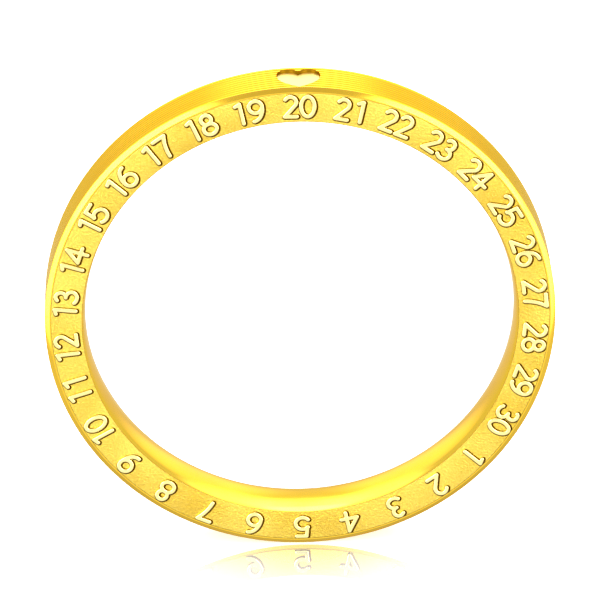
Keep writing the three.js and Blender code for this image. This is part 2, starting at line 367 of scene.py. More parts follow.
PALE_HIGHLIGHT_GOLD = (0.99, 0.9, 0.37)
PALE_HIGHLIGHT_SHADE = (0.97, 0.84, 0.3)
FINISHES = {
    Surface.POLISHED: Finish(
        "polished_gold", colour=(0.94, 0.62, 0.045), shade=(0.9, 0.57, 0.03), edge=(1.0, 0.74, 0.03),
        roughness=0.14, grain=0.02, relief=0.0001, spread=0.05, coat=0.5,
    ),
    Surface.SATIN: Finish(
        "satin_gold", colour=(0.96, 0.7, 0.1), shade=(0.72, 0.46, 0.03),
        roughness=0.36, grain=0.045, relief=0.036, spread=0.2, coat=0.6,
    ),
    Surface.LINED: Finish(
        "lined_gold", colour=(0.95, 0.66, 0.085), shade=(0.9, 0.6, 0.06), edge=(1.0, 0.64, 0.03),
        roughness=0.14, grain=0.02, relief=0.0004, spread=0.06, coat=0.08, turned=40.0,
    ),
    Surface.EDGE: Finish(
        "edge_gold", colour=(0.98, 0.6, 0.012), shade=(0.94, 0.56, 0.01),
        roughness=0.1, grain=0.02, relief=0.0002, spread=0.04, coat=1.0,
    ),
    # Painted shade: the sunk heart's walls are coloured dark.
    Surface.DEEP: Finish(
        "painted_wall_shade_gold", colour=(0.32, 0.19, 0.012), shade=(0.26, 0.15, 0.008),
        roughness=0.4, grain=0.04, relief=0.001, spread=0.1,
    ),
    # Painted shadow: the dark line beside the raised numbers.
    Surface.AGED: Finish(
        "painted_shadow_gold", colour=(0.12, 0.052, 0.001), shade=(0.07, 0.03, 0.001),
        roughness=0.45, grain=0.04, relief=0.001, spread=0.1,
    ),
    # The numbers' gold, paled to paint the highlight on their polished tops.
    Surface.BRIGHT: Finish(
        "polished_highlight_gold", colour=PALE_HIGHLIGHT_GOLD, shade=PALE_HIGHLIGHT_SHADE,
        roughness=0.12, grain=0.03, relief=0.0003, spread=0.06, coat=1.0,
    ),
    # The heart's floor: frosted gold, paled to paint a highlight.
    Surface.FROSTED: Finish(
        "frosted_highlight_gold", colour=(0.99, 0.77, 0.3), shade=PALE_HIGHLIGHT_SHADE,
        roughness=0.5, grain=0.03, relief=0.003, spread=0.1, coat=0.8,
    ),
    Surface.STEEL: Finish(
        "spring_steel", colour=(0.6, 0.61, 0.63), shade=(0.5, 0.51, 0.53),
        roughness=0.25, grain=0.02, relief=0.0004, spread=0.1, turned=20.0,
    ),
    Surface.BRONZE: Finish(
        "turned_bronze", colour=(0.62, 0.38, 0.15), shade=(0.5, 0.3, 0.12),
        roughness=0.35, grain=0.03, relief=0.001, spread=0.1, turned=20.0,
    ),
    Surface.POLYMER: Finish(
        "glide_polymer", colour=(0.86, 0.84, 0.78), shade=(0.8, 0.78, 0.72),
        roughness=0.5, grain=0.05, relief=0.001, spread=0.1, metallic=0.0,
    ),
}


# ---- mesh helpers ----


def new_object(name: str, mesh: bpy.types.Mesh) -> bpy.types.Object:
    """Links a mesh into the scene as an object at the origin.

    Args:
        name: The object's name.
        mesh: Its mesh.

    Returns:
        The new object.
    """
    made = bpy.data.objects.new(name, mesh)
    bpy.context.scene.collection.objects.link(made)
    return made


def plain_mesh(holder: bpy.types.Object, name: str) -> bpy.types.Object:
    """Replaces an object that carries modifiers by one with the plain result.

    Args:
        holder: The object to evaluate and remove.
        name: The new object's name.

    Returns:
        The new object.
    """
    bpy.context.view_layer.update()
    graph = bpy.context.evaluated_depsgraph_get()
    mesh = bpy.data.meshes.new_from_object(holder.evaluated_get(graph), depsgraph=graph)
    mesh.name = name
    bpy.data.objects.remove(holder)
    return new_object(name, mesh)


def run_tree(tree: bpy.types.NodeTree, mesh: bpy.types.Mesh, name: str, values: dict) -> bpy.types.Object:
    """Runs a Geometry Nodes tree on a mesh and keeps the plain result.

    Args:
        tree: The tree.
        mesh: The points that it starts from.
        name: The new object's name.
        values: Each input's identifier and its value.

    Returns:
        The new object.
    """
    holder = new_object(f"{name}_holder", mesh)
    modifier = holder.modifiers.new("shape", "NODES")
    modifier.node_group = tree
    for identifier, value in values.items():
        modifier[identifier] = value
    return plain_mesh(holder, name)


def face_out(mesh: bpy.types.Mesh) -> None:
    """Turns a closed mesh's faces outwards, so that it holds a positive volume.

    Args:
        mesh: The mesh, all of whose faces point one way already.
    """
    shape = bmesh.new()
    shape.from_mesh(mesh)
    if shape.calc_volume(signed=True) < 0:
        bmesh.ops.reverse_faces(shape, faces=shape.faces)
    shape.to_mesh(mesh)
    shape.free()


def rounded(section: Sequence[tuple[float, float, float]], steps: int = 4) -> list[Point]:
    """Rounds the corners of a closed section.

    Args:
        section: (radius, y, fillet) corners in mm.
        steps: Points on each fillet, less one.

    Returns:
        The (radius, y) points in order.
    """
    points: list[Point] = []
    count = len(section)
    for i, (r, y, fillet) in enumerate(section):
        here = Vector((r, y))
        before = Vector(section[i - 1][:2]) - here
        after = Vector(section[(i + 1) % count][:2]) - here
        if fillet <= 0:
            points.append((r, y))
            continue
        start = here + before.normalized() * fillet
        end = here + after.normalized() * fillet
        for k in range(steps + 1):
            t = k / steps
            at = start * (1 - t) ** 2 + here * 2 * t * (1 - t) + end * t**2
            points.append((at.x, at.y))
    return points


def smooth(piece: bpy.types.Object, degrees: float = 30.0) -> None:
    """Shades a piece smooth, with edges that turn by more than an angle kept sharp."""
    piece.data.shade_smooth()
    piece.data.set_sharp_from_angle(angle=math.radians(degrees))


# ---- turning ----


class Lathe:
    """A Geometry Nodes tree that revolves a section about Y."""

    WELD = 1e-7

    def __init__(self) -> None:
        """Builds the tree: a grid whose rows take the section's points and whose columns go round."""
        names = {"Section": "Geometry", "Segments": "Int", "Finish": "Material"}
        kit, (section, segments, finish), (_, *identifiers) = new_tree("turn_section", names, "Ring")
        self.tree, (self.segments, self.material) = kit.tree, identifiers
        size = kit.out(kit.node("GeometryNodeAttributeDomainSize", None, {"Geometry": section}))
        columns = segments + 1
        grid = kit.node("GeometryNodeMeshGrid", None, {"Vertices X": columns, "Vertices Y": size})
        index = kit.out(kit.node("GeometryNodeInputIndex"))
        row = index % size
        column = (index / size).apply("FLOOR")
        place = kit.out(kit.node("GeometryNodeInputPosition"))
        inputs = {"Geometry": section, "Value": place, "Index": row}
        sampled = kit.node("GeometryNodeSampleIndex", {"data_type": "FLOAT_VECTOR"}, inputs)
        split = kit.node("ShaderNodeSeparateXYZ", None, {0: kit.out(sampled)})
        radius, along = kit.out(split, 0), kit.out(split, 1)
        angle = column / segments * math.tau
        x, z = radius * angle.apply("SINE"), radius * angle.apply("COSINE")
        target = kit.out(kit.node("ShaderNodeCombineXYZ", None, {0: x, 1: along, 2: z}))
        moved = kit.node("GeometryNodeSetPosition", None, {"Geometry": kit.out(grid), "Position": target})
        weld = {"Geometry": kit.out(moved), "Distance": self.WELD}
        kit.close(kit.out(kit.node("GeometryNodeMergeByDistance", None, weld)), finish)

    def turn(
        self, name: str, section: Sequence[Point], finish: bpy.types.Material, segments: int = 360
    ) -> bpy.types.Object:
        """Revolves a closed section.

        Args:
            name: The piece's name.
            section: (radius, y) points in mm; the last joins the first.
            finish: The piece's material.
            segments: Steps round the ring.

        Returns:
            The turned piece as a plain mesh.
        """
        mesh = bpy.data.meshes.new(f"{name}_section")
        loop = [*section, section[0]]
        mesh.from_pydata([(r * MM, y * MM, 0.0) for r, y in loop], [], [])
        piece = run_tree(self.tree, mesh, name, {self.segments: segments, self.material: finish})
        face_out(piece.data)
        return piece


@dataclass
class Workshop:
    """Keeps the lathe, and hands out each finish's material, made once."""

    lathe: Lathe = field(default_factory=Lathe)
    made: dict[Surface, bpy.types.Material] = field(default_factory=dict)

    def finish(self, surface: Surface) -> bpy.types.Material:
        """Gives a surface's material.

        Args:
            surface: Which finish.

        Returns:
            Its material.
        """
        if surface not in self.made:
            self.made[surface] = FINISHES[surface].build()
        return self.made[surface]


# ---- the fixed pieces ----


@dataclass
class FingerLining:
    """The sleeve that the finger sees: a crowned polished bore between two bright bevels."""

    bore_r: float = 8.65
    crown: float = 0.09
    bevel: float = 0.15
    race_r: float = 9.08
    shoulder: float = 0.68
    bore_steps: int = 10

    def section(self) -> list[Point]:
        """The sleeve's section.

        Returns:
            Its (radius, y) points, with the bore bulging slightly inwards.
        """
        edge = HALF_WIDTH - self.bevel
        bore = []
        for k in range(self.bore_steps + 1):
            y = edge - 2 * edge * k / self.bore_steps
            bore.append((self.bore_r + self.crown * (y / edge) ** 2, y, 0.0))
        outer_r = self.bore_r + self.bevel
        return rounded(
            [
                (outer_r, -HALF_WIDTH, LIP),
                (outer_r, -self.shoulder, 0.0),
                (self.race_r, -self.shoulder, FILLET),
                (self.race_r, self.shoulder, FILLET),
                (outer_r, self.shoulder, 0.0),
                (outer_r, HALF_WIDTH, LIP),
                *bore,
            ]
        )

    def build(self, shop: Workshop) -> bpy.types.Object:
        """Turns the lining.

        Args:
            shop: The lathe and the finishes.

        Returns:
            The finished piece.
        """
        piece = shop.lathe.turn("finger_lining", self.section(), shop.finish(Surface.POLISHED))
        smooth(piece)
        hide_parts("finger_sleeve")
        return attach(piece, "ring_core")


@dataclass
class FacePlate:
    """A flat ring that closes one end of the band: the dial at the front, the plain ring at the back."""

    name: str
    node: str
    front: bool
    inner_r: float = 8.808
    outer_r: float = 10.04
    thickness: float = 0.3
    edge: float = 0.012

    def build(self, shop: Workshop) -> bpy.types.Object:
        """Turns the plate with its outer edges softened.

        Args:
            shop: The lathe and the finishes.

        Returns:
            The finished piece.
        """
        side = -1 if self.front else 1
        outer, inner = side * HALF_WIDTH, side * (HALF_WIDTH - self.thickness)
        corners = [
            (self.inner_r, outer, self.edge),
            (self.outer_r, outer, self.edge),
            (self.outer_r, inner, FILLET),
            (self.inner_r, inner, FILLET),
        ]
        piece = shop.lathe.turn(self.name, rounded(corners), shop.finish(Surface.SATIN))
        smooth(piece)
        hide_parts(self.node)
        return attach(piece, "ring_core")


# ---- numerals ----


def arc(x: float, y: float, rx: float, ry: float, start: float, end: float) -> list[Point]:
    """Walks part of an ellipse.

    Args:
        x: Its middle, to the right.
        y: Its middle, upwards.
        rx: Its half width.
        ry: Its half height.
        start: The first angle, in degrees.
        end: The last angle, in degrees.

    Returns:
        The points, about nine degrees apart.
    """
    steps = max(6, round(abs(end - start) / 9))
    angles = [math.radians(start + (end - start) * k / steps) for k in range(steps + 1)]
    return [(x + rx * math.cos(a), y + ry * math.sin(a)) for a in angles]


def bend(start: Point, pull: Point, end: Point, steps: int = 12) -> list[Point]:
    """Draws a line that is pulled to one side.

    Args:
        start: Its first point.
        pull: The point that it is drawn towards.
        end: Its last point.
        steps: How many steps it has.

    Returns:
        Its points.
    """
    made = []
    for k in range(steps + 1):
        t = k / steps
        x, y = (a * (1 - t) ** 2 + b * 2 * t * (1 - t) + c * t * t for a, b, c in zip(start, pull, end))
        made.append((x, y))
    return made


# Each figure's strokes, as middle lines round the figure's own middle, in mm.
FIGURES: dict[int, list[list[Point]]] = {
    0: [arc(0, 0, 0.265, 0.43, 0, 360)],
    1: [[(0.085, 0.43), (0.085, -0.43)], [(-0.11, 0.355), (0.085, 0.43)]],
    2: [[*arc(-0.01, 0.19, 0.235, 0.24, 150, -25), (-0.235, -0.43)], [(-0.235, -0.43), (0.25, -0.43)]],
    3: [arc(-0.02, 0.225, 0.2, 0.205, 140, -90), arc(-0.02, -0.205, 0.265, 0.225, 90, -145)],
    4: [[(0.1, 0.43), (-0.33, -0.15)], [(-0.33, -0.15), (0.33, -0.15)], [(0.1, 0.43), (0.1, -0.43)]],
    5: [
        [(0.21, 0.43), (-0.2, 0.43)],
        [(-0.2, 0.43), (-0.23, 0.01)],
        arc(-0.03, -0.16, 0.29, 0.27, 140, -140),
    ],
    6: [arc(0, -0.17, 0.265, 0.26, 0, 360), arc(0.17, -0.17, 0.435, 0.6, 90, 180)],
    7: [[(-0.27, 0.43), (0.27, 0.43)], bend((0.27, 0.43), (0, 0.05), (-0.05, -0.43))],
    8: [arc(0, 0.225, 0.205, 0.205, 0, 360), arc(0, -0.2, 0.265, 0.23, 0, 360)],
    9: [arc(0, 0.17, 0.265, 0.26, 0, 360), arc(-0.17, 0.17, 0.435, 0.6, 0, -90)],
}


@dataclass
class FigurePunch:
    """Makes the raised figures, each a rounded bar that follows its strokes.

    Attributes:
        half_stroke: Half the width of a stroke.
        root: How deep a figure reaches into the dial.
        cap_steps: Steps on each round end.
        wall: (inset, height) steps from the edge up to the top.
    """

    half_stroke: float = 0.085
    root: float = 0.02
    cap_steps: int = 8
    wall: tuple[Point, ...] = ((0.0, 0.035), (0.005, 0.055), (0.014, 0.069), (0.026, 0.077), (0.04, 0.08))

    def bars(self, stroke: Sequence[Point]) -> list[list[Point]]:
        """Covers a stroke with overlapping bars, one for each of its steps.

        Args:
            stroke: The stroke's middle line.

        Returns:
            The outlines of the bars, whose ends are round.
        """
        shapes = []
        half = self.half_stroke
        for (x0, y0), (x1, y1) in zip(stroke, stroke[1:]):
            along = Vector((x1 - x0, y1 - y0)).normalized()
            across = Vector((-along.y, along.x)) * half
            start = math.atan2(across.y, across.x)
            ring = []
            for cx, cy, turn in ((x0, y0, 0.0), (x1, y1, math.pi)):
                for k in range(self.cap_steps + 1):
                    a = start + turn + math.pi * k / self.cap_steps
                    ring.append((cx + half * math.cos(a), cy + half * math.sin(a)))
            shapes.append(ring)
        return shapes

    def outline(self, figure: int) -> tuple[list[Vector], list[list[int]]]:
        """Joins a figure's bars into one outline.

        Args:
            figure: Which figure.

        Returns:
            Its points, and its boundary loops with the metal on their left.
        """
        points, faces = [], []
        for stroke in FIGURES[figure]:
            for ring in self.bars(stroke):
                faces.append(list(range(len(points), len(points) + len(ring))))
                points += [Vector(p) for p in ring]
        corners, _, triangles, _, _, sources = delaunay_2d_cdt(points, [], faces, 0, 1e-5)
        solid = [t for t, source in zip(triangles, sources) if source]
        edges = {(t[i], t[(i + 1) % len(t)]) for t in solid for i in range(len(t))}
        following = {a: b for a, b in edges if (b, a) not in edges}
        loops = []
        while following:
            start, at = following.popitem()
            loop = [start]
            while at != start:
                loop.append(at)
                at = following.pop(at)
            loops.append(loop)
        return corners, loops

    def mesh(self, name: str, figure: int, grow: float, wall: Sequence[Point]) -> bpy.types.Mesh:
        """Builds one figure standing on the dial, facing the front with its top up.

        Args:
            name: The mesh's name.
            figure: Which figure.
            grow: How far its outline spreads beyond its strokes.
            wall: (inset, height) steps from its edge up to its top.

        Returns:
            The closed mesh.
        """
        corners, loops = self.outline(figure)
        rims = [self._spaced([corners[i] for i in loop]) for loop in loops]
        levels = [(-grow, -self.root), *((inset - grow, height) for inset, height in wall)]
        verts, faces, flat = [], [], []
        flat_loops, top_index, foot_index = [], [], []
        for rim in rims:
            inward = self._inward(rim)
            count = len(rim)
            base = len(verts)
            for inset, height in levels:
                for p, n in zip(rim, inward):
                    verts.append(((p.x + n.x * inset) * MM, -height * MM, (p.y + n.y * inset) * MM))
            for level in range(len(levels) - 1):
                for k in range(count):
                    a, b = base + level * count + k, base + level * count + (k + 1) % count
                    faces.append([a, b, b + count, a + count])
            top = base + (len(levels) - 1) * count
            flat_loops.append(list(range(len(flat), len(flat) + count)))
            flat += [Vector((verts[top + k][0], verts[top + k][2])) / MM for k in range(count)]
            top_index += list(range(top, top + count))
            foot_index += list(range(base, base + count))
        faces += self._cap(flat, flat_loops, top_index)
        sunk = [Vector(p) for rim in rims for p in rim]
        faces += [face[::-1] for face in self._cap(sunk, flat_loops, foot_index)]
        made = bpy.data.meshes.new(name)
        made.from_pydata(verts, [], faces)
        return made

    @staticmethod
    def _spaced(rim: list[Vector], pitch: float = 0.028) -> list[Vector]:
        """Spaces a loop's points evenly.

        Args:
            rim: The loop.
            pitch: About how far apart its points come, in mm.

        Returns:
            The same loop with new points.
        """
        closed = [*rim, rim[0]]
        runs = [(b - a).length for a, b in zip(closed, closed[1:])]
        total = sum(runs)
        count = max(12, round(total / pitch))
        marks = np.linspace(0, total, count, endpoint=False)
        walked = np.concatenate([[0], np.cumsum(runs)])
        xs = np.interp(marks, walked, [p.x for p in closed])
        ys = np.interp(marks, walked, [p.y for p in closed])
        return [Vector((x, y)) for x, y in zip(xs, ys)]

    @staticmethod
    def _inward(rim: list[Vector]) -> list[Vector]:
        """Finds the way into the metal along a loop.

        Args:
            rim: The loop, with the metal on its left.

        Returns:
            The direction at each of its points.
        """
        made = []
        for k, here in enumerate(rim):
            along = (rim[(k + 1) % len(rim)] - rim[k - 1]).normalized()
            made.append(Vector((-along.y, along.x)))
        return made

    @staticmethod
    def _cap(flat: list[Vector], loops: list[list[int]], index: list[int]) -> list[list[int]]:
        """Triangles across a figure between its rims, leaving its eyes open.

        Args:
            flat: The rims' points.
            loops: The rims, as places in flat.
            index: The mesh vertex of each point.

        Returns:
            Triangles of mesh vertices.
        """
        edges = [(loop[k], loop[(k + 1) % len(loop)]) for loop in loops for k in range(len(loop))]
        corners, _, triangles, origins, *_ = delaunay_2d_cdt(flat, edges, [], 0, 1e-7)
        starts = np.array([flat[a] for a, _ in edges])
        ends = np.array([flat[b] for _, b in edges])
        kept = []
        for triangle in triangles:
            x, y = sum((corners[i] for i in triangle), Vector((0.0, 0.0))) / 3
            crossed = (starts[:, 1] > y) != (ends[:, 1] > y)
            a, b = starts[crossed], ends[crossed]
            right = a[:, 0] + (y - a[:, 1]) * (b[:, 0] - a[:, 0]) / (b[:, 1] - a[:, 1]) > x
            if right.sum() % 2 and all(origins[i] for i in triangle):
                kept.append([index[origins[i][0]] for i in triangle])
        return kept


@dataclass
class Numerals:
    """The numbers round the dial, scattered from ten punched figures.

    Attributes:
        count: How many numbers there are.
        top_number: The number at the top.
        middle_r: The radius that their middles stand on.
        pitch: How far apart the two figures of a number stand.
        foot: How far the painted shadow line round their feet spreads.
        foot_height: How far that line stands up from the dial.
        foot_drop: How far right and up the whole painted shadow line is moved.
        punch: What makes the figures.
    """

    count: int = 30
    top_number: int = 20
    middle_r: float = 9.485
    pitch: float = 0.68
    foot: float = 0.041
    foot_height: float = 0.006
    foot_drop: Point = (0.03, -0.026)
    punch: FigurePunch = field(default_factory=FigurePunch)

    def tree(self) -> tuple[bpy.types.NodeTree, str, str]:
        """Builds the tree that puts a figure on each point and turns it to face outwards.

        Returns:
            The tree, and the identifiers of its Figures and Finish inputs.
        """
        names = {"Places": "Geometry", "Figures": "Collection", "Finish": "Material"}
        kit, (places, figures, finish), (_, *identifiers) = new_tree("scatter_figures", names, "Numbers")
        parted = {"Separate Children": True, "Reset Children": True}
        chosen = kit.node("GeometryNodeCollectionInfo", None, {"Collection": figures, **parted})
        turn = kit.node("GeometryNodeInputNamedAttribute", {"data_type": "FLOAT"}, {"Name": "turn"})
        which = kit.node("GeometryNodeInputNamedAttribute", {"data_type": "INT"}, {"Name": "figure"})
        angle = kit.out(kit.node("ShaderNodeCombineXYZ", None, {1: kit.out(turn)}))
        inputs = {
            "Points": places,
            "Instance": kit.out(chosen),
            "Pick Instance": True,
            "Instance Index": kit.out(which),
            "Rotation": angle,
        }
        spread = kit.node("GeometryNodeInstanceOnPoints", None, inputs)
        kit.close(kit.out(spread), finish)
        return kit.tree, *identifiers

    def reach(self, figure: int) -> tuple[float, float]:
        """How far a figure reaches left and right of its middle."""
        across = [x for stroke in FIGURES[figure] for x, _ in stroke]
        return min(across) - self.punch.half_stroke, max(across) + self.punch.half_stroke

    def places(self) -> list[tuple[Vector, int, float]]:
        """Sets the numbers round the dial.

        Returns:
            Each figure's place in metres, which figure it is, and its turn.
        """
        made = []
        for number in range(1, self.count + 1):
            turn = (number - self.top_number) * math.tau / self.count
            figures = [int(c) for c in str(number)]
            starts = [(k - (len(figures) - 1) / 2) * self.pitch for k in range(len(figures))]
            left = starts[0] + self.reach(figures[0])[0]
            right = starts[-1] + self.reach(figures[-1])[1]
            for figure, start in zip(figures, starts):
                across = start - (left + right) / 2
                x = self.middle_r * math.sin(turn) + across * math.cos(turn)
                z = self.middle_r * math.cos(turn) - across * math.sin(turn)
                at = Vector((x, -HALF_WIDTH, z))
                made.append((at * MM, figure, turn))
        return made

    def scatter(
        self, name: str, grow: float, wall: Sequence[Point], drop: Point, finish: bpy.types.Material
    ) -> bpy.types.Object:
        """Punches the ten figures and scatters them round the dial as one piece.

        Args:
            name: The piece's name.
            grow: How far the outlines spread beyond their strokes.
            wall: (inset, height) steps of the figures' edges.
            drop: How far right and up the whole piece is moved, in mm.
            finish: The piece's material.

        Returns:
            The scattered figures.
        """
        box = bpy.data.collections.new(f"{name}_punched")
        for figure in FIGURES:
            label = f"{name}_{figure}"
            box.objects.link(bpy.data.objects.new(label, self.punch.mesh(label, figure, grow, wall)))
        places = self.places()
        move = Vector((drop[0], 0.0, drop[1])) * MM
        mesh = bpy.data.meshes.new(f"{name}_places")
        mesh.from_pydata([at + move for at, _, _ in places], [], [])
        turns = mesh.attributes.new("turn", "FLOAT", "POINT")
        turns.data.foreach_set("value", [turn for _, _, turn in places])
        kinds = mesh.attributes.new("figure", "INT", "POINT")
        kinds.data.foreach_set("value", [figure for _, figure, _ in places])
        tree, figures, dressing = self.tree()
        piece = run_tree(tree, mesh, name, {figures: box, dressing: finish})
        for made in list(box.objects):
            bpy.data.objects.remove(made)
        bpy.data.collections.remove(box)
        self.keep_on_dial(piece.data)
        smooth(piece, 50.0)
        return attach(piece, "ring_core")

    @staticmethod
    def keep_on_dial(mesh: bpy.types.Mesh) -> None:
        """Draws in every point past the dial's flat, so that nothing reaches the turning band.

        Args:
            mesh: The numbers' mesh.
        """
        limit = (FacePlate.outer_r - FacePlate.edge) * MM
        for vertex in mesh.vertices:
            out = math.hypot(vertex.co.x, vertex.co.z)
            if out > limit:
                vertex.co.x *= limit / out
                vertex.co.z *= limit / out

    def build(self, shop: Workshop) -> bpy.types.Object:
        """Makes the raised numbers, paled to paint a highlight, and a dark line at their feet that paints their
        shadow.

        Args:
            shop: The lathe and the finishes.

        Returns:
            The finished piece.
        """
        bright, aged = shop.finish(Surface.BRIGHT), shop.finish(Surface.AGED)
        # Painted shadow: a dark, slightly wider copy of the figures, moved to one side.
        self.scatter("number_feet", self.foot, ((0.0, self.foot_height),), self.foot_drop, aged)
        # The numbers' pale gold partly paints the highlight on their polished tops.
        return self.scatter("raised_numbers", 0.0, self.punch.wall, (0.0, 0.0), bright)


# ---- the turning band ----


@dataclass
class IndexBand:
    """The outer band: fine turned lines, a polished chamfer, and the sunk heart that points at a number.

    Attributes:
        skirt_r: The inner radius of its two rims.
        chamfer_r: The outer radius of its front face.
        chamfer_depth: How deep the front chamfer is, along Y.
        rear_chamfer: The width and depth of the rear one.
        web_r: The inner radius of its middle.
        web_half: Half the width of its middle.
        lines: How many turned lines it has.
        line_depth: How deep they are.
        line_shape: (place across the line, depth) steps of one line, from 0 to 1.
        line_start: How far the first line stands from the front chamfer, in lines.
        segments: Steps round the ring.
        heart_width: The heart's width, across X.
        heart_height: Its height, along Y.
        heart_middle: Where its middle stands, along Y.
        heart_floor: How deep it is sunk.
        dress: The finishes of its surfaces, in the order of its material slots.
    """

    skirt_r: float = 10.05
    chamfer_r: float = 10.1
    chamfer_depth: float = 0.1
    rear_chamfer: float = 0.05
    web_r: float = 9.62
    web_half: float = 0.6
    lines: int = 9
    line_depth: float = 0.02
    line_shape: tuple[Point, ...] = ((0, 0), (0.42, 0), (0.58, 0.35), (0.74, 0.72), (0.88, 1.0), (0.94, 0.6))
    line_start: float = 0.25
    segments: int = 540
    heart_width: float = 1.75
    heart_height: float = 1.68
    heart_middle: float = -0.05
    heart_floor: float = 0.18
    dress: tuple[Surface, ...] = (Surface.POLISHED, Surface.LINED, Surface.FROSTED, Surface.DEEP, Surface.EDGE)

    def section(self) -> list[Point]:
        """The band's section.

        Returns:
            Its (radius, y) points, with the lines as shallow rounded grooves between narrow lands.
        """
        front, back = self.chamfer_depth - HALF_WIDTH, HALF_WIDTH - self.rear_chamfer
        pitch = (back - front) / (self.lines + 2 * self.line_start)
        skin = []
        for k in range(self.lines):
            for across, depth in self.line_shape:
                y = front + pitch * (k + self.line_start + across)
                skin.append((OUTER_R - depth * self.line_depth, y, 0.0))
        return rounded(
            [
                (self.skirt_r, -HALF_WIDTH, 0.0),
                (self.chamfer_r, -HALF_WIDTH, FacePlate.edge),
                (OUTER_R, front, LIP),
                *skin,
                (OUTER_R, back, FILLET),
                (OUTER_R - self.rear_chamfer, HALF_WIDTH, FILLET),
                (self.skirt_r, HALF_WIDTH, 0.0),
                (self.skirt_r, self.web_half, 0.0),
                (self.web_r, self.web_half, 0.0),
                (self.web_r, -self.web_half, 0.0),
                (self.skirt_r, -self.web_half, 0.0),
            ]
        )

    def heart(self) -> list[Point]:
        """The heart's outline.

        Returns:
            Its (x, y) points, clockwise from its cleft, with its tip towards the front.
        """
        w, h = self.heart_width / 2, self.heart_height
        top, tip = self.heart_middle + h / 2, self.heart_middle - h / 2
        side, cleft = top - 0.3 * h, top - 0.12 * h
        curves = [
            ((0, cleft), (0.2 * w, top), (0.45 * w, top), (0.5 * w, top)),
            ((0.5 * w, top), (0.85 * w, top), (w, top - 0.14 * h), (w, side)),
            ((w, side), (w, side - 0.34 * h), (0.52 * w, tip + 0.16 * h), (0, tip)),
        ]
        right, steps = [], 12
        for curve in curves:
            for k in range(steps):
                t = k / steps
                weights = ((1 - t) ** 3, 3 * t * (1 - t) ** 2, 3 * t * t * (1 - t), t**3)
                right.append(tuple(sum(q * p[i] for q, p in zip(weights, curve)) for i in range(2)))
        left = [(-x, y) for x, y in reversed(right[1:])]
        return [*right, (0.0, tip), *left]

    def cutter(self) -> bpy.types.Object:
        """Makes the tool that sinks the heart.

        Returns:
            A heart-shaped block from the pocket's floor to above the band.
        """
        outline = self.heart()
        count = len(outline)
        above = 0.3
        low, high = OUTER_R - self.heart_floor, OUTER_R + above
        verts = [(x * MM, y * MM, z * MM) for z in (low, high) for x, y in outline]
        sides = [[k, (k + 1) % count, count + (k + 1) % count, count + k] for k in range(count)]
        mesh = bpy.data.meshes.new("heart_cutter")
        mesh.from_pydata(verts, [], [list(range(count)), list(range(count, 2 * count)), *sides])
        shape = bmesh.new()
        shape.from_mesh(mesh)
        bmesh.ops.recalc_face_normals(shape, faces=shape.faces)
        shape.to_mesh(mesh)
        shape.free()
        return new_object("heart_cutter", mesh)

    def surface_of(self, middle: Vector, normal: Vector) -> Surface:
        """Chooses the finish of one face.

        Args:
            middle: The face's middle, in mm.
            normal: The way that it looks.

        Returns:
            The finish.
        """
        x, y, z = middle
        radius = math.hypot(x, z)
        front = self.chamfer_depth - HALF_WIDTH
        floor = OUTER_R - self.heart_floor
        back = self.heart_middle + self.heart_height / 2 + FILLET
        near_heart = z > 0 and abs(x) <= self.heart_width / 2 and y < back
        if y < front and radius > self.chamfer_r and normal.y < -0.2:
            return Surface.EDGE
        # Painted shade: the heart's walls are coloured dark.
        if near_heart and radius > floor and abs(normal.z) < 0.02:
            return Surface.DEEP
        # The heart's floor is paled to paint a highlight.
        if near_heart and abs(z - floor) < 0.005 and normal.z > 0.99:
            return Surface.FROSTED
        outwards = normal.x * x + normal.z * z > 0 and abs(normal.y) < 0.9
        if y > front and radius > OUTER_R - self.line_depth - FILLET and outwards:
            return Surface.LINED
        return Surface.POLISHED

    def build(self, shop: Workshop) -> bpy.types.Object:
        """Turns the band, sinks the heart and gives each of its surfaces its own finish.

        Args:
            shop: The lathe and the finishes.

        Returns:
            The finished piece.
        """
        polished = shop.finish(Surface.POLISHED)
        ring = shop.lathe.turn("band_blank", self.section(), polished, self.segments)
        cutter = self.cutter()
        sink = ring.modifiers.new("sink_heart", "BOOLEAN")
        sink.operation, sink.solver, sink.object = "DIFFERENCE", "EXACT", cutter
        piece = plain_mesh(ring, "lined_band")
        bpy.data.objects.remove(cutter)
        piece.data.materials.clear()
        for surface in self.dress:
            piece.data.materials.append(shop.finish(surface))
        for face in piece.data.polygons:
            face.material_index = self.dress.index(self.surface_of(face.center / MM, face.normal))
        smooth(piece)
        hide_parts("index_band")
        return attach(piece, "index_band")


# ---- the hidden race ----


@dataclass
class BallRace:
    """The balls between the sleeve and the band."""

    count: int = 20
    ball_r: float = 0.25
    path_r: float = 9.35
    y: float = -0.22
    fineness: int = 4

    def build(self, shop: Workshop) -> bpy.types.Object:
        """Sets smooth balls round the race.

        Args:
            shop: The lathe and the finishes.

        Returns:
            The finished piece.
        """
        names = {"Path": "Geometry", "Ball Radius": "Float", "Finish": "Material"}
        kit, (path, ball_r, finish), (_, radius, dressing) = new_tree("set_balls", names, "Balls")
        ball = kit.node("GeometryNodeMeshIcoSphere", None, {"Radius": ball_r, "Subdivisions": self.fineness})
        inputs = {"Points": path, "Instance": kit.out(ball)}
        kit.close(kit.out(kit.node("GeometryNodeInstanceOnPoints", None, inputs)), finish)
        turns = [k * math.tau / self.count for k in range(self.count)]
        path_r, y = self.path_r * MM, self.y * MM
        places = [(path_r * math.sin(t), y, path_r * math.cos(t)) for t in turns]
        mesh = bpy.data.meshes.new("ball_places")
        mesh.from_pydata(places, [], [])
        values = {radius: self.ball_r * MM, dressing: shop.finish(Surface.STEEL)}
        piece = run_tree(kit.tree, mesh, "race_balls", values)
        piece.data.shade_smooth()
        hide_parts(*[f"race_ball_{k + 1:02d}" for k in range(self.count)])
        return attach(piece, "ball_race")


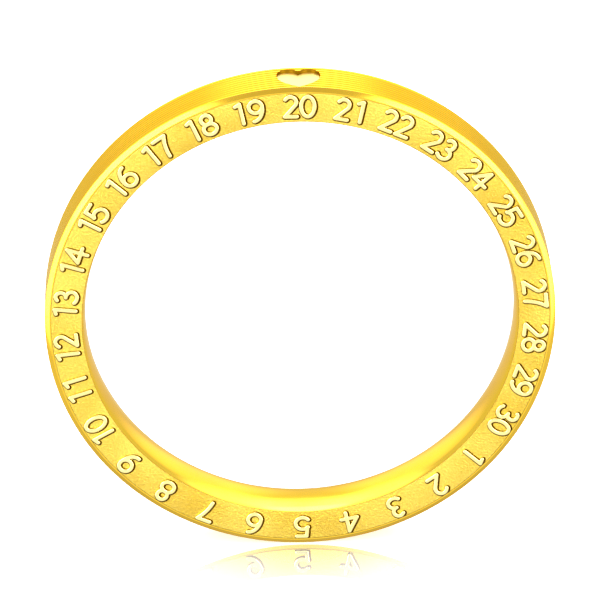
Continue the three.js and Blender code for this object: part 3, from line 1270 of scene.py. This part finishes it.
def dress_inner_pieces(shop: Workshop) -> None:
    """Gives the pieces that stay as they were cut their finishes.

    Args:
        shop: The lathe and the finishes.
    """
    kept = {
        "ball_cage": Surface.BRONZE,
        "click_spring": Surface.STEEL,
        "dial_pin_1": Surface.STEEL,
        "dial_pin_2": Surface.STEEL,
        "front_glide_ring": Surface.POLYMER,
        "rear_glide_ring": Surface.POLYMER,
    }
    for node, surface in kept.items():
        mesh = frame["nodes"][node].data
        mesh.materials.clear()
        mesh.materials.append(shop.finish(surface))


# ---- studio ----


@dataclass(frozen=True)
class Glow:
    """A soft patch of light in the surroundings.

    Attributes:
        azimuth: Degrees round from the front, positive to the right.
        elevation: Degrees above the horizon.
        inner: Degrees from its middle that are fully lit.
        outer: Degrees from its middle where it ends.
        strength: How much it adds.
    """

    azimuth: float
    elevation: float
    inner: float
    outer: float
    strength: float

    def direction(self) -> tuple[float, float, float]:
        """The way to its middle."""
        a, e = math.radians(self.azimuth), math.radians(self.elevation)
        return math.sin(a) * math.cos(e), -math.cos(a) * math.cos(e), math.sin(e)

    def near(self, kit: NodeKit, way: Socket) -> Socket:
        """How much of the patch lies in a direction.

        Args:
            kit: The surroundings' nodes.
            way: The direction.

        Returns:
            0 outside it, 1 in its middle.
        """
        facing = kit.node("ShaderNodeVectorMath", {"operation": "DOT_PRODUCT"}, {0: way, 1: self.direction()})
        ends = (math.cos(math.radians(v)) for v in (self.outer, self.inner))
        return kit.out(facing, "Value").ramp(*ends)


@dataclass
class Studio:
    """The pale floor, the soft light and the camera.

    Attributes:
        elevation: How high the camera stands, in degrees.
        azimuth: How far round it stands, in degrees.
        roll: How far it is tilted, in degrees.
        distance: How far off it stands, in outer radii of the ring.
        lens: Its focal length, in mm.
        shift: How far its picture is shifted.
        exposure: The picture's exposure, in stops.
        ambient: The even light from all round.
        table_light: The floor's own glow, which keeps it pale.
        floor_half: Half the floor's width, in metres.
        sheen: How strongly the floor mirrors the ring.
        sheen_reach: How far in front of the ring the mirror fades out, in mm.
        sheen_width: How far to each side of it, in mm.
        glows: Patches that add light.
        shades: Patches that take it away.
    """

    elevation: float = 26.852
    azimuth: float = -1.819
    roll: float = -0.311
    distance: float = 22.412
    lens: float = 342.5
    shift: Point = (0.00037, 0.01507)
    exposure: float = -0.13
    ambient: float = 0.95
    table_light: float = 0.45
    floor_half: float = 3.0
    sheen: float = 0.8
    sheen_reach: float = 9.5
    sheen_width: float = 12.0
    glows: tuple[Glow, ...] = (
        Glow(0, -35, 14, 42, 0.34),
        Glow(180, 54, 8, 26, 1.8),
        Glow(146, 48, 8, 26, 1.8),
        Glow(-146, 48, 8, 26, 1.8),
        Glow(180, 66, 8, 18, 3.0),
        Glow(180, 26, 8, 24, 0.15),
        Glow(154, 13, 6, 24, 0.75),
        Glow(-154, 13, 6, 24, 0.75),
        Glow(37, 14, 12, 24, 6.0),
        Glow(-37, 14, 12, 24, 6.0),
        Glow(50, -14, 8, 20, 4.0),
        Glow(-50, -14, 8, 20, 4.0),
        Glow(0, 88, 12, 34, 2.1),
    )
    shades: tuple[Glow, ...] = (Glow(0, -88, 20, 50, 0.25), Glow(0, 27, 8, 22, 0.2))

    def camera(self) -> None:
        """Sets the camera at the height and distance that the ring is looked at from."""
        e, a, roll = (math.radians(v) for v in (self.elevation, self.azimuth, self.roll))
        back = Vector((math.sin(a) * math.cos(e), -math.cos(a) * math.cos(e), math.sin(e)))
        right = (-back).cross(Vector((0, 0, 1))).normalized()
        up = right.cross(-back)
        turned_right = right * math.cos(roll) + up * math.sin(roll)
        turned_up = up * math.cos(roll) - right * math.sin(roll)
        data = bpy.data.cameras.new("camera")
        data.lens, data.sensor_width = self.lens, 36.0
        data.shift_x, data.shift_y = self.shift
        data.clip_start, data.clip_end = 0.01, 10.0
        camera = bpy.data.objects.new("camera", data)
        place = Matrix((turned_right, turned_up, back)).transposed().to_4x4()
        place.translation = back * self.distance * OUTER_R * MM
        camera.matrix_world = place
        bpy.context.scene.collection.objects.link(camera)
        bpy.context.scene.camera = camera

    def surroundings(self) -> None:
        """Makes the soft light that the gold mirrors."""
        world = bpy.data.worlds.new("studio")
        world.use_nodes = True
        bpy.context.scene.world = world
        kit = NodeKit(world.node_tree)
        way = kit.out(kit.node("ShaderNodeTexCoord"), "Generated")
        light: Socket | float = self.ambient
        for glow in self.glows:
            light = glow.near(kit, way) * glow.strength + light
        for shade in self.shades:
            light = (1 - shade.near(kit, way) * shade.strength) * light
        shader = kit.node("ShaderNodeBackground", None, {"Color": (1, 1, 1, 1), "Strength": light})
        kit.node("ShaderNodeOutputWorld", None, {"Surface": kit.out(shader)})

    def floor(self) -> None:
        """Lays the pale floor that the ring stands on.

        It mirrors only in front of the ring, from the arc on which the camera sees the ring's lower edge.
        """
        half, low = self.floor_half, cad_box[0].z
        corners = [(-half, -half, low), (half, -half, low), (half, half, low), (-half, half, low)]
        mesh = bpy.data.meshes.new("floor")
        mesh.from_pydata(corners, [], [[0, 1, 2, 3]])
        material = bpy.data.materials.new("pale_floor")
        material.use_nodes = True
        kit = NodeKit(material.node_tree)
        inputs = {"Base Color": (0.93, 0.93, 0.93, 1), "Roughness": 0.9, "Emission Color": (1, 1, 1, 1)}
        dull = kit.node("ShaderNodeBsdfPrincipled", None, {**inputs, "Emission Strength": self.table_light})
        sheen = kit.node("ShaderNodeBsdfGlossy", None, {"Color": (1, 1, 1, 1), "Roughness": 0.04})
        place = kit.out(kit.node("ShaderNodeTexCoord"), "Object")
        split = kit.node("ShaderNodeSeparateXYZ", None, {0: place})
        across, ahead = kit.out(split, 0).apply("ABSOLUTE"), -HALF_WIDTH * MM - kit.out(split, 1)
        climb = math.tan(math.radians(self.elevation))
        under = ahead * climb - across * across / (2 * OUTER_R * MM)
        arc_blend = 0.05 * MM
        reach = ahead.ramp(self.sheen_reach * MM, 0.0) * under.ramp(0.0, arc_blend)
        near = reach * across.ramp(self.sheen_width * MM, 0.0) * self.sheen
        mixed = kit.node("ShaderNodeMixShader", None, {0: near, 1: kit.out(dull), 2: kit.out(sheen)})
        kit.node("ShaderNodeOutputMaterial", None, {"Surface": kit.out(mixed)})
        mesh.materials.append(material)
        floor = new_object("floor", mesh)
        floor.visible_glossy = False

    def build(self) -> None:
        """Sets up everything round the ring."""
        scene = bpy.context.scene
        scene.view_settings.view_transform = "Standard"
        scene.view_settings.exposure = self.exposure
        self.camera()
        self.surroundings()
        self.floor()


def main() -> None:
    """Builds the studio and each piece of the ring in order."""
    logging.basicConfig(level=logging.INFO, format="%(name)s: %(message)s")
    Studio().build()
    shop = Workshop()
    parts = (
        FingerLining(),
        FacePlate("dial_face", "number_dial", True),
        Numerals(),
        FacePlate("rear_plate", "rear_ring", False),
        IndexBand(),
        BallRace(),
    )
    for part in parts:
        piece = part.build(shop)
        log.info("%s has %d faces", piece.name, len(piece.data.polygons))
    dress_inner_pieces(shop)
    log.info("inner pieces are dressed")


if __name__ == "__main__":
    main()
